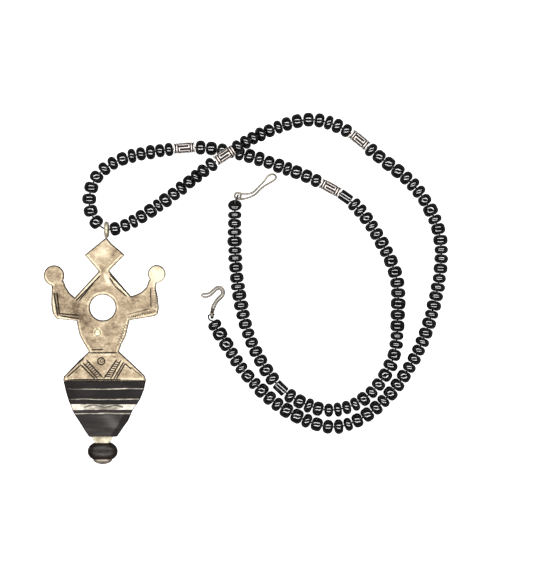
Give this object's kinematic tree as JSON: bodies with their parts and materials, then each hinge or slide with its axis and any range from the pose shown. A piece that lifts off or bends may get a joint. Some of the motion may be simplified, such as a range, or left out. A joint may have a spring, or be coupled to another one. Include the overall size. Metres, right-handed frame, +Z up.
{
  "type": "pendant necklace",
  "caption": "Bead strand with a hook-and-eye clasp and a flat doll-shaped silver and ebony pendant that hangs from a bail ring.",
  "frame": {"origin": "on the surface the necklace lies on, under the middle of its box", "axes": "+Z up from that surface, +Y from the doll's feet towards its head, +X to the doll's left as it faces up"},
  "size_m": [0.1454, 0.1263, 0.0101],
  "materials": {
    "black_glass": "polished opaque black glass",
    "pendant_silver": "tarnished warm silver, hand finished",
    "inlay_silver": "rubbed silver inlay",
    "cap_silver": "dull dark silver",
    "tube_silver": "antiqued silver, dark in the recesses",
    "wire_silver": "bright drawn silver wire",
    "ebony": "oiled dark ebony with fine grain",
    "thread": "waxed black cord"
  },
  "bodies": {
    "necklace": {"beads_1": "black_glass", "beads_2": "black_glass", "beads_3": "black_glass", "beads_4": "black_glass", "beads_5": "black_glass", "beads_6": "black_glass", "beads_7": "black_glass", "beads_8": "black_glass", "beads_9": "black_glass", "beads_10": "black_glass", "beads_11": "black_glass", "beads_12": "black_glass", "beads_13": "black_glass", "stringing_thread": "thread"},
    "pendant": {"pendant_plate": "pendant_silver", "bail_ring": "pendant_silver", "navel_stud": "pendant_silver", "ebony_skirt": "ebony", "inlay_upper": "inlay_silver", "inlay_middle": "inlay_silver", "inlay_lower": "inlay_silver", "skirt_band": "inlay_silver", "tip_cap": "pendant_silver", "tip_bead": "ebony", "base_cap": "cap_silver"},
    "eye": {"eye_wire": "wire_silver"},
    "hook": {"hook_wire": "wire_silver"},
    "tube_1": {"silver_tube_1": "tube_silver"},
    "tube_2": {"silver_tube_2": "tube_silver"},
    "tube_3": {"silver_tube_3": "tube_silver"},
    "tube_4": {"silver_tube_4": "tube_silver"},
    "dark_tube_1": {"black_tube_1": "black_glass"},
    "dark_tube_2": {"black_tube_2": "black_glass"}
  },
  "joints": [
    {"name": "pendant_swing", "type": "hinge", "parent": "necklace", "child": "pendant", "pos_m": [-0.0501, 0.021, 0.00295], "axis": [-1, 0, 0], "range_deg": [0, 130]},
    {"name": "eye_swivel", "type": "hinge", "parent": "necklace", "child": "eye", "pos_m": [-0.003, 0.03325, 0.0007], "axis": [0, 0, 1], "range_deg": [-20, 8]},
    {"name": "hook_lift", "type": "hinge", "parent": "necklace", "child": "hook", "pos_m": [-0.0122, -0.0096, 0.0016], "axis": [1, 0, 0], "range_deg": [0, 100]},
    {"name": "silver_tube_1_spin", "type": "hinge", "parent": "necklace", "child": "tube_1", "pos_m": [-0.02219, 0.05035, 0.0026], "axis": [-0.9975, -0.0703, 0], "continuous": true},
    {"name": "silver_tube_2_spin", "type": "hinge", "parent": "necklace", "child": "tube_2", "pos_m": [-0.00761, 0.04743, 0.00739], "axis": [0.8338, 0.552, 0], "continuous": true},
    {"name": "silver_tube_3_spin", "type": "hinge", "parent": "necklace", "child": "tube_3", "pos_m": [0.03029, 0.03602, 0.0026], "axis": [-0.8801, 0.4748, 0], "continuous": true},
    {"name": "silver_tube_4_spin", "type": "hinge", "parent": "necklace", "child": "tube_4", "pos_m": [0.04078, 0.05322, 0.0026], "axis": [0.776, -0.6307, 0], "continuous": true},
    {"name": "black_tube_1_spin", "type": "hinge", "parent": "necklace", "child": "dark_tube_1", "pos_m": [0.03575, 0.03269, 0.0026], "axis": [-0.8169, 0.5767, 0], "continuous": true},
    {"name": "black_tube_2_spin", "type": "hinge", "parent": "necklace", "child": "dark_tube_2", "pos_m": [0.01245, -0.03595, 0.0026], "axis": [0.7133, -0.7009, 0], "continuous": true}
  ]
}
